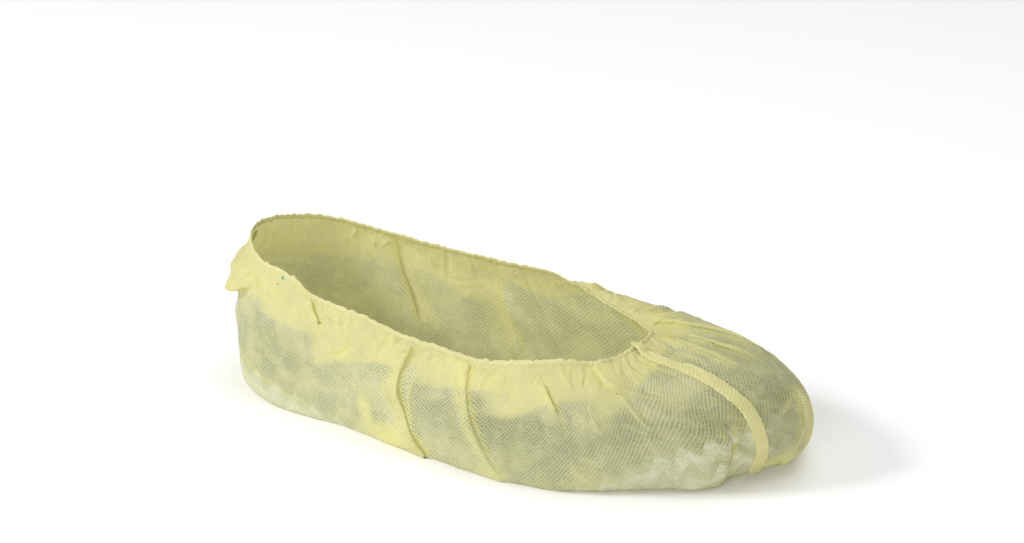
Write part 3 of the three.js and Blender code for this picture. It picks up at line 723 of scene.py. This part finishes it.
def relax(points, smooth, out, more_round, more_down, hold):
    """Lets the sheet settle like cloth: it keeps its lengths, resists bends, hangs, and lies on the form."""
    points = points.astype(np.float32)
    smooth = smooth.astype(np.float32)
    out = out.astype(np.float32)
    around = np.linalg.norm(np.roll(points, -1, axis=1) - points, axis=-1) * more_round
    falls = np.linalg.norm(points[1:] - points[:-1], axis=-1) * more_down[1:]
    slants = {}
    for turn in (1, -1):
        start = np.linalg.norm(np.roll(points[1:], -turn, axis=1) - points[:-1], axis=-1)
        slants[turn] = start * 0.5 * (more_round[1:] + more_down[1:])
    bends = []
    for span in RELAX.spans:
        wide = sum(np.roll(around, -k, axis=1) for k in range(span))
        tall = sum(falls[k : len(falls) - span + 1 + k] for k in range(span))
        bends.append((span, wide, tall))
    curled = curl(points)
    start = points.copy()
    last = points.copy()
    hold = hold[..., None].astype(np.float32)
    bend = RELAX.bend
    for _ in range(RELAX.rounds):
        now = points
        points = points + RELAX.glide * (points - last)
        points[..., 2] -= RELAX.weight
        last = now
        move = pull(points, around, 1, ROUND, 1.0, 1.0) + pull(points, falls, 1, DOWN, 1.0, 1.0)
        move += RELAX.slant * (pull_slant(points, slants[1], 1) + pull_slant(points, slants[-1], -1))
        for span, wide, tall in bends:
            move += pull(points, wide, span, ROUND, 0.0, bend) + pull(points, tall, span, DOWN, 0.0, bend)
        move += RELAX.stiff * (curl(points) - curled)
        points = points + RELAX.step * move
        gap = np.einsum("ijk,ijk->ij", points - smooth, out)
        points = points + (np.maximum(-gap, 0) * RELAX.form)[..., None] * out
        points = points + hold * (start - points)
        points[-1:] = start[-1:]
        points[:1] = (1 - RELAX.rim) * points[:1] + RELAX.rim * start[:1]
    for _ in range(RELAX.even_rounds):
        points = points + (1 - hold) * RELAX.even * curl(points, 1)
    return points.astype(float)


def sole_grid(u, edge):
    """Rows of the sole from the sole line to the spine, which the two sides share."""
    first = SPOKES[0].sole[0]
    span = SPOKES[len(SPOKES) // 2].sole[0] - first
    middle = (ring("sole", u)[:, 0] + ring("sole", 1 - u)[:, 0]) / 2
    share = ((middle - first) / span)[:, None]
    spine = np.concatenate([(1 - share) * SPINE.heel + share * SPINE.toe, 0 * share], 1)
    rows = []
    for k in range(1, SOLE_ROWS + 1):
        w = k / SOLE_ROWS
        row = (1 - w) * edge + w * spine
        row[:, 2] = edge[:, 2] * (1 - w) ** 2
        rows.append(row)
    return np.array(rows)


def new_piece(name, points, faces, uvs, node, material):
    """A smooth mesh of points in mm and quads, with texture coordinates, standing for a CAD node."""
    mesh = bpy.data.meshes.new(name)
    mesh.from_pydata(((points - ORIGIN) * MM).tolist(), [], faces.tolist())
    for layer, coordinates in uvs.items():
        mesh.uv_layers.new(name=layer).data.foreach_set("uv", coordinates.astype(np.float32).ravel())
    mesh.validate()
    mesh.shade_smooth()
    piece = bpy.data.objects.new(name, mesh)
    bpy.context.scene.collection.objects.link(piece)
    mesh.materials.append(material)
    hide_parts(node)
    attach(piece, "root")
    return piece


def quads(columns, rows, at):
    """Quads of a grid, corner by corner, with the grid place of each corner."""
    i, j = np.meshgrid(np.arange(columns), np.arange(rows))
    corners = [(i, j), (i, j + 1), (i + 1, j + 1), (i + 1, j)]
    faces = np.stack([at(a, b).ravel() for a, b in corners], -1)
    places = np.stack([np.stack([a.ravel(), b.ravel()], -1) for a, b in corners], 1)
    return faces, places


def fabric_lengths(grid):
    """Millimetres round the opening for each column, and up the cloth from the sole line for each point."""
    round_mm = run_lengths(raised_wall(np.arange(COLUMNS + 1) / COLUMNS, np.full(COLUMNS + 1, LENGTHS_AT)))
    falls = even_out(np.linalg.norm(np.diff(grid, axis=0), axis=-1), UV_ROUNDS, axis=1)
    up_mm = np.concatenate([np.cumsum(falls[::-1], axis=0)[::-1], np.zeros((1, COLUMNS))])
    return round_mm, np.concatenate([up_mm, up_mm[:, :1]], axis=1)


def make_sheet(u, grid, cloth, lengths, material):
    """The sheet: the settled wall and the flat sole, with coordinates for the weave and for the print."""
    sole = sole_grid(u[0], grid[-1])
    rows = WALL_ROWS + SOLE_ROWS
    half = COLUMNS // 2

    def at(i, j):
        spoke = i % COLUMNS
        spine = rows * COLUMNS + np.minimum(spoke, COLUMNS - spoke)
        return np.where(j < rows, j * COLUMNS + spoke, spine)

    points = np.concatenate([grid.reshape(-1, 3), sole[:-1].reshape(-1, 3), sole[-1, : half + 1]])
    faces, places = quads(COLUMNS, rows, at)
    round_mm, up_mm = lengths
    band = at_shares(TREAD_BAND, np.arange(COLUMNS + 1) / COLUMNS)
    i = places[..., 0]
    j = np.minimum(places[..., 1], WALL_ROWS)
    under = (places[:, :1, 1] >= WALL_ROWS)[..., None]
    level = points[faces][..., :2]
    fabric = np.where(under, level, np.stack([round_mm[i], up_mm[j, i]], -1))
    tread = np.where(under, level - [0, SOLE_PRINT], np.stack([round_mm[i], up_mm[j, i] - band[i]], -1))
    uvs = {"fabric": fabric, "tread": tread}
    piece = new_piece("fabric_sheet", points, faces, uvs, "sheet", material)
    for name, values in cloth.items():
        layer = np.zeros(len(points), np.float32)
        layer[: values.size] = values.ravel()
        piece.data.attributes.new(name, "FLOAT", "POINT").data.foreach_set("value", layer)
    return piece


def make_hem(grid, material):
    """The rolled edge: a soft flat roll that follows the gathered edge of the sheet all round the opening."""
    rng = np.random.default_rng(SEED + 1)
    sides = HEM.sides
    near, below, far = HEM.rows
    edge = even_out(grid[0], HEM.edge_rounds)
    out = directions(np.stack([edge, grid[near], grid[far]]))[2][0]
    up = unit(edge - grid[below])
    up[:, 2] += HEM.upright
    for _ in range(HEM.turn_rounds):
        up = unit(even_out(up, 1))
        out = unit(even_out(out, 1))
    out = unit(out - np.einsum("ij,ij->i", out, up)[:, None] * up)
    u = np.arange(COLUMNS) / COLUMNS
    angles = 2 * np.pi * np.arange(sides) / sides
    ruffle = np.zeros((COLUMNS, sides))
    for _ in range(RUFFLES.count):
        turns = rng.integers(*RUFFLES.turns)
        phase = 2 * np.pi * (turns * u[:, None] + rng.random())
        phase = phase + rng.integers(0, RUFFLES.twists) * angles[None]
        ruffle += rng.uniform(*RUFFLES.height) * np.cos(phase)
    scallop = waves(u, rng.integers(*SCALLOPS.turns, SCALLOPS.count), SCALLOPS.height, rng)
    centre = edge + up * (HEM.above + HEM.uneven * scallop[:, None])
    points = []
    for k in range(sides):
        size = 1 + ruffle[:, k : k + 1]
        sideways = out * (HEM.thickness / 2) * math.cos(angles[k]) * size
        points.append(centre + sideways + up * (HEM.height / 2) * math.sin(angles[k]) * size)

    def at(i, j):
        return (j % sides) * COLUMNS + i % COLUMNS

    faces, places = quads(COLUMNS, sides, at)
    faces = faces[:, ::-1]
    places = places[:, ::-1]
    length = run_lengths(np.concatenate([edge, edge[:1]]))
    girth = np.pi * (HEM.height + HEM.thickness) / 2
    fabric = np.stack([length[places[..., 0]], girth * places[..., 1] / sides], -1)
    points = np.array(points).reshape(-1, 3)
    return new_piece("rolled_hem", points, faces, {"fabric": fabric}, "elastic_hem", material)


def sample(grid, u, v):
    """Point of the finished sheet at shares of the way round and down."""
    column = np.mod(u, 1.0) * COLUMNS
    row = v ** (1 / RIM_CROWDING) * WALL_ROWS
    i = np.floor(column).astype(int)
    j = np.minimum(np.floor(row).astype(int), WALL_ROWS - 1)
    a = (column - i)[..., None]
    b = (row - j)[..., None]
    i, k = i % COLUMNS, (i + 1) % COLUMNS
    upper = (1 - a) * grid[j, i] + a * grid[j, k]
    lower = (1 - a) * grid[j + 1, i] + a * grid[j + 1, k]
    return (1 - b) * upper + b * lower


def seam_tail(seam, base, out, place, rng):
    """Rows of a ragged end of seam allowance that stands past the rim into the opening and ends in a tip."""
    count = TAIL.steps
    middle = base[0].mean(axis=0)
    across = unit(base[0, -1] - base[0, 0])
    ahead = unit(middle - base[TAIL.row].mean(axis=0))
    up = unit(out[0].mean(axis=0))
    arch, soon = TAIL.arch
    taper, late = TAIL.taper
    rows = []
    for k in range(count):
        t = 1 - k / count
        rise = arch * math.sin(math.pi * min(1.0, soon * t)) + TAIL.tip * t
        centre = middle + ahead * seam.tail * t + up * rise + across * TAIL.swing * t * t
        half = TAIL.half * seam.width * (1 - taper * t**late)
        ragged = rng.normal(0, TAIL.ragged, len(place))[:, None] * ahead * min(1.0, 2 * t)
        rows.append(centre + half * place[:, None] * across + ragged)
    return np.array(rows), np.repeat(out[:1], count, axis=0)


def lay_strip(seam, place, grid, rng):
    """Rows of points of the finished sheet under a seam strip, and the directions out of the sheet there."""
    path = smooth_line(seam.line, STRIP.steps)
    share = np.linspace(0, 1, STRIP.steps + 1)
    on, back = (wall(path[:, 0] + step, path[:, 1]) for step in (STEP_ROUND, -STEP_ROUND))
    turn = np.linalg.norm(on - back, axis=-1) / (2 * STEP_ROUND)
    sides = waves(share, *STRIP.sides, rng)
    narrow, over = STRIP.narrow
    half = seam.width / 2 * at_least(narrow, np.clip(share / over, 0, 1))
    u = path[:, :1] + (half[:, None] * place[None] + sides[:, None]) / turn[:, None]
    v = np.repeat(path[:, 1:], len(place), 1)
    base = sample(grid, u, v)
    tangent = sample(grid, u + SEAM_STEP.round, v) - sample(grid, u - SEAM_STEP.round, v)
    lower = sample(grid, u, np.minimum(v + SEAM_STEP.down, 1))
    fall = lower - sample(grid, u, np.maximum(v - SEAM_STEP.down, 0))
    out = unit(np.cross(fall, tangent))
    for _ in range(STRIP.even_rounds):
        out[1:-1] = unit(out[:-2] + 2 * out[1:-1] + out[2:])
        base[1:-1] = (base[:-2] + 2 * base[1:-1] + base[2:]) / 4
    return base, out


def make_seam(name, node, seam, grid, material):
    """A folded seam allowance: a thin strip with soft edges that lies on the sheet, puckered lengthwise."""
    rng = np.random.default_rng(SEED + 2 + len(name))
    lines = STRIP.lines
    place = np.sin(np.linspace(-np.pi / 2, np.pi / 2, lines))
    base, out = lay_strip(seam, place, grid, rng)
    if seam.tail:
        tail_base, tail_out = seam_tail(seam, base, out, place, rng)
        base = np.concatenate([tail_base, base])
        out = np.concatenate([tail_out, out])
    puckers = waves(np.linspace(0, 1, len(base)), *STRIP.puckers, rng)
    ridge, wide = STRIP.ridge
    welt = seam.welt * np.exp(-(((np.abs(place) - ridge) / wide) ** 2))
    crown = (1 - np.abs(place) ** STRIP.flat + welt)[None]
    rise = seam.edge + seam.thickness * crown * (1 + puckers[:, None])
    top = base + out * rise[..., None]
    bottom = base + out * STRIP.gap
    points = np.concatenate([bottom, top[:, ::-1]], axis=1)
    points[..., 2] = np.maximum(points[..., 2], 0)
    count = 2 * lines
    last = len(base) - 1

    def at(i, j):
        return j * count + i % count

    faces, _ = quads(count, last, at)
    caps = [[at(k, 0), at(k + 1, 0), at(count - 2 - k, 0), at(count - 1 - k, 0)] for k in range(lines - 1)]
    for k in range(lines - 1):
        caps.append([at(k + 1, last), at(k, last), at(count - 1 - k, last), at(count - 2 - k, last)])
    faces = np.concatenate([faces, np.array(caps)])
    cross = np.concatenate([place, place[::-1]]) * seam.width / 2
    fabric = np.stack([cross[faces % count], run_lengths(base[:, lines // 2])[faces // count]], -1)
    return new_piece(name, points.reshape(-1, 3), faces, {"fabric": fabric}, node, material)


class Nodes:
    """Short ways to add shader nodes to one material."""

    def __init__(self, name):
        self.material = bpy.data.materials.new(name)
        self.material.use_nodes = True
        self.tree = self.material.node_tree
        self.tree.nodes.clear()

    def add(self, kind, **settings):
        node = self.tree.nodes.new(kind)
        for key, value in settings.items():
            setattr(node, key, value)
        return node

    def put(self, socket, value):
        if isinstance(value, bpy.types.NodeSocket):
            self.tree.links.new(value, socket)
        else:
            socket.default_value = value

    def fill(self, node, **values):
        for key, value in values.items():
            self.put(node.inputs[key.replace("_", " ")], value)
        return node.outputs[0]

    def math(self, operation, a, b=0.0, c=0.0):
        node = self.add("ShaderNodeMath", operation=operation)
        for socket, value in zip(node.inputs, (a, b, c)):
            self.put(socket, value)
        return node.outputs[0]

    def times(self, a, b):
        return self.math("MULTIPLY", a, b)

    def ramp(self, value, start, end, low=0.0, high=1.0):
        node = self.add("ShaderNodeMapRange", interpolation_type="SMOOTHSTEP")
        return self.fill(node, Value=value, From_Min=start, From_Max=end, To_Min=low, To_Max=high)

    def mix(self, share, a, b):
        node = self.add("ShaderNodeMix", data_type="RGBA")
        for socket, value in zip((node.inputs[0], node.inputs[6], node.inputs[7]), (share, a, b)):
            self.put(socket, value)
        return node.outputs[2]

    def attribute(self, name):
        return self.add("ShaderNodeAttribute", attribute_name=name).outputs["Fac"]

    def uv(self, layer):
        place = self.add("ShaderNodeUVMap", uv_map=layer).outputs[0]
        parts = self.add("ShaderNodeSeparateXYZ")
        self.put(parts.inputs[0], place)
        return place, parts.outputs[0], parts.outputs[1]

    def noise(self, vector, scale, detail=3.0, stretch=(1, 1, 1), roughness=0.5):
        stretched = self.fill(self.add("ShaderNodeMapping"), Vector=vector, Scale=stretch)
        node = self.add("ShaderNodeTexNoise")
        return self.fill(node, Vector=stretched, Scale=scale, Detail=detail, Roughness=roughness)


def bond_dots(n, uv, x, y):
    """One where a bond dot is, zero between the dots, which stray a little from their rows."""
    turn = math.radians(DOTS.turn)
    x = n.math("MULTIPLY_ADD", n.noise(uv, scale=0.12, detail=2.0), DOTS.stray, x)
    y = n.math("MULTIPLY_ADD", n.noise(uv, scale=0.15, detail=2.0), DOTS.stray, y)
    across = n.math("SUBTRACT", n.times(x, math.cos(turn)), n.times(y, math.sin(turn)))
    along = n.math("ADD", n.times(x, math.sin(turn)), n.times(y, math.cos(turn)))
    column = n.math("SUBTRACT", n.math("FRACT", n.math("DIVIDE", across, DOTS.pitch)), 0.5)
    row = n.math("SUBTRACT", n.math("FRACT", n.math("DIVIDE", along, DOTS.pitch)), 0.5)
    radius = n.math("SQRT", n.math("ADD", n.times(column, column), n.times(row, row)))
    return n.ramp(radius, start=0.36, end=0.18)


def print_share(n, uv):
    """How much of the worn, blurred zigzag print covers the sheet."""
    _, along, across = n.uv("tread")
    warp = n.times(n.math("SUBTRACT", n.noise(uv, scale=0.16), 0.5), PRINT.warp)
    zigzag = n.math("PINGPONG", n.math("DIVIDE", n.math("ADD", along, warp), PRINT.period), 0.5)
    swing = n.times(n.math("SUBTRACT", n.times(zigzag, 4.0), 1.0), PRINT.reach)
    offset = n.math("SUBTRACT", n.math("ADD", across, warp), swing)
    half = PRINT.spacing / 2
    repeated = n.math("WRAP", offset, half, -half)
    above = n.times(n.math("GREATER_THAN", offset, half), PRINT.far)
    away = n.math("ABSOLUTE", n.math("MAXIMUM", repeated, above))
    outer, inner = PRINT.blur
    line = n.ramp(away, start=PRINT.width + outer, end=PRINT.width - inner)
    worn = n.noise(uv, scale=0.22, detail=4.0, roughness=0.65)
    return n.times(line, n.ramp(worn, start=0.4, end=0.6, low=0.08, high=0.72))


def add_fleck(n, fleck, x, y, lengths, colour):
    """A small stray fleck at a place of the sheet, in the fabric's own coordinates."""
    column = round(fleck.at[0] * COLUMNS)
    row = round(fleck.at[1] ** (1 / RIM_CROWDING) * WALL_ROWS)
    round_mm, up_mm = lengths
    a = n.math("DIVIDE", n.math("SUBTRACT", x, float(round_mm[column])), fleck.size[0])
    b = n.math("DIVIDE", n.math("SUBTRACT", y, float(up_mm[row, column])), fleck.size[1])
    away = n.math("ADD", n.math("ABSOLUTE", a), n.math("ABSOLUTE", b))
    return n.mix(n.ramp(away, start=1.1, end=0.8), colour, fleck.colour)


def sheet_colour(n, colours, fabric, dot, thick, lengths):
    """Colour of the sheet by how thin, gathered or double it is, with painted shade and highlight, dots, print
    and flecks.
    """
    uv, x, y = fabric
    names = ("dense_and_highlight", "doubled", "cleft_shade", "taut_shade", "faded")
    dense_and_highlight, doubled, cleft_shade, taut_shade, faded = (n.attribute(name) for name in names)
    patch = n.ramp(n.noise(uv, scale=0.055, detail=5.0, roughness=0.68), start=0.38, end=0.62)
    uneven = n.noise(uv, scale=0.11, detail=5.0, roughness=0.7)
    tight_shade = n.times(taut_shade, n.ramp(uneven, start=0.34, end=0.6, low=0.55, high=1.05))
    colour = n.mix(patch, colours["thin"], colours["worn"])
    # Painted shade over the tight patches
    colour = n.mix(tight_shade, colour, colours["taut_shade"])
    # Gathered tone, which also paints the highlight of raised creases
    colour = n.mix(dense_and_highlight, colour, colours["dense_and_highlight"])
    colour = n.mix(n.times(doubled, 0.75), colour, colours["double"])
    colour = n.mix(n.ramp(thick, start=0.6, end=0.38, high=0.5), colour, colours["bare"])
    seen = n.times(n.ramp(dense_and_highlight, 0.0, 1.0, low=1.0, high=0.15), n.ramp(patch, 0.0, 1.0, low=0.5))
    seen = n.times(seen, n.ramp(n.noise(uv, scale=0.6, detail=2.0), start=0.3, end=0.6, low=0.4, high=1.2))
    # Darker dots within the painted shade of the tight patches
    spots = n.mix(tight_shade, colours["dot"], colours["shaded_dot"])
    colour = n.mix(n.times(dot, seen), colour, spots)
    # Painted shade deep in clefts and sunk creases
    colour = n.mix(n.times(cleft_shade, 0.65), colour, colours["deep_shade_and_tone"])
    single = n.ramp(doubled, start=0.2, end=0.9, low=1.0, high=0.25)
    under = n.ramp(n.uv("tread")[2], start=8.0, end=-4.0, high=0.5)
    under = n.times(under, n.ramp(tight_shade, 0.0, 1.0, low=1.0, high=0.15))
    colour = n.mix(n.times(under, single), colour, colours["sole"])
    left = n.times(single, n.math("SUBTRACT", 1.0, faded))
    colour = n.mix(n.times(print_share(n, uv), left), colour, colours["print"])
    for fleck in FLECKS:
        colour = add_fleck(n, fleck, x, y, lengths, colour)
    return colour


def strip_colour(n, colours, dot, thick):
    """Colour of the hem and the seams, where the cloth lies in several layers."""
    colour = n.mix(n.ramp(thick, start=0.36, end=0.62), colours["deep_shade_and_tone"], colours["dense_and_highlight"])
    return n.mix(n.times(dot, 0.5), colour, colours["dot"])


def fabric_material(name, colours, see_through, lengths=None):
    """Spunbonded fabric: bond dots in rows, clouded fibres, and light that shines through it."""
    n = Nodes(name)
    fabric = n.uv("fabric")
    uv = fabric[0]
    dot = bond_dots(n, *fabric)
    cloud = n.noise(uv, scale=0.09, detail=4.0, roughness=0.6)
    fibre = n.noise(uv, scale=1.1, stretch=(1.0, 0.35, 1.0), roughness=0.65)
    cross = n.noise(uv, scale=1.3, detail=2.0, stretch=(0.3, 1.0, 1.0), roughness=0.6)
    web = n.math("MULTIPLY_ADD", fibre, 0.5, n.times(cross, 0.5))
    thick = n.math("ADD", n.times(cloud, 0.5), n.times(web, 0.5))
    if lengths:
        colour = sheet_colour(n, colours, fabric, dot, thick, lengths)
    else:
        colour = strip_colour(n, colours, dot, thick)
    rough = n.math("SUBTRACT", 0.82, n.times(dot, 0.25))
    height = n.math("SUBTRACT", n.times(web, 1.1), n.times(dot, 0.8))
    normal = n.fill(n.add("ShaderNodeBump"), Strength=0.7, Distance=0.0002, Height=height)
    shader = n.add("ShaderNodeBsdfPrincipled")
    n.fill(shader, Specular_IOR_Level=0.3, Sheen_Weight=0.08)
    cloth = n.fill(shader, Base_Color=colour, Roughness=rough, Normal=normal)
    glow = n.fill(n.add("ShaderNodeBsdfTranslucent"), Color=colours["through"], Normal=normal)
    both = n.add("ShaderNodeMixShader")
    for socket, value in zip(both.inputs, (see_through, cloth, glow)):
        n.put(socket, value)
    n.put(n.add("ShaderNodeOutputMaterial").inputs["Surface"], both.outputs[0])
    return n.material


def plain_floor():
    """A wide pale floor under the cover."""
    mesh = bpy.data.meshes.new("floor")
    half = FLOOR.half
    corners = [(-half, -half, 0), (half, -half, 0), (half, half, 0), (-half, half, 0)]
    mesh.from_pydata(corners, [], [(0, 1, 2, 3)])
    floor = bpy.data.objects.new("floor", mesh)
    bpy.context.scene.collection.objects.link(floor)
    n = Nodes("pale_floor")
    shader = n.add("ShaderNodeBsdfPrincipled")
    surface = n.fill(shader, Base_Color=FLOOR.colour, Roughness=FLOOR.roughness)
    n.put(n.add("ShaderNodeOutputMaterial").inputs["Surface"], surface)
    mesh.materials.append(n.material)


def studio_light():
    """Even light from all round, and the round lamps."""
    world = bpy.data.worlds.new("studio")
    world.use_nodes = True
    world.node_tree.nodes["Background"].inputs[0].default_value = (1, 1, 1, 1)
    world.node_tree.nodes["Background"].inputs[1].default_value = WORLD_LIGHT
    bpy.context.scene.world = world
    for row in LIGHTS:
        data = bpy.data.lights.new(row.name, "AREA")
        data.shape = "DISK"
        data.size = row.size
        data.energy = row.power
        lamp = bpy.data.objects.new(row.name, data)
        lamp.location = row.place
        lamp.rotation_euler = (Vector(row.target) - lamp.location).to_track_quat("-Z", "Y").to_euler()
        bpy.context.scene.collection.objects.link(lamp)


def photo_camera():
    """The camera that sees the cover as the photo does."""
    azimuth, elevation = math.radians(CAMERA.azimuth), math.radians(CAMERA.elevation)
    flat = math.cos(elevation)
    back = Vector((math.sin(azimuth) * flat, -math.cos(azimuth) * flat, math.sin(elevation)))
    data = bpy.data.cameras.new("photo_camera")
    data.sensor_width = CAMERA.sensor
    data.lens = CAMERA.focal / IMAGE.width * data.sensor_width
    data.shift_x = (IMAGE.width / 2 - IMAGE.centre[0]) / IMAGE.width
    data.shift_y = (IMAGE.centre[1] - IMAGE.height / 2) / IMAGE.width
    camera = bpy.data.objects.new("photo_camera", data)
    target = Vector((np.array(CAMERA.target) - ORIGIN) * MM)
    camera.location = target + back * CAMERA.distance * MM
    camera.rotation_euler = (-back).to_track_quat("-Z", "Y").to_euler()
    bpy.context.scene.collection.objects.link(camera)
    bpy.context.scene.camera = camera


photo_camera()
studio_light()
plain_floor()
bpy.context.scene.view_settings.view_transform = "Standard"

hem_fabric = fabric_material("spunbond_hem", HEM_YELLOW, see_through=0.25)
seam_fabric = fabric_material("spunbond_seam", SEAM_YELLOW, see_through=0.3)
heel_fabric = fabric_material("spunbond_heel_seam", HEEL_YELLOW, see_through=0.4)

shares_round, sheet_points, cloth_marks = make_sheet_grid()
sheet_lengths = fabric_lengths(sheet_points)
sheet_fabric = fabric_material("spunbond_sheet", YELLOW, see_through=0.3, lengths=sheet_lengths)
sheet = make_sheet(shares_round, sheet_points, cloth_marks, sheet_lengths, sheet_fabric)
hem = make_hem(sheet_points, hem_fabric)
toe_seam = make_seam("toe_seam_strip", "toe_seam", TOE_SEAM, sheet_points, seam_fabric)
heel_seam = make_seam("heel_seam_strip", "heel_seam", HEEL_SEAM, sheet_points, heel_fabric)
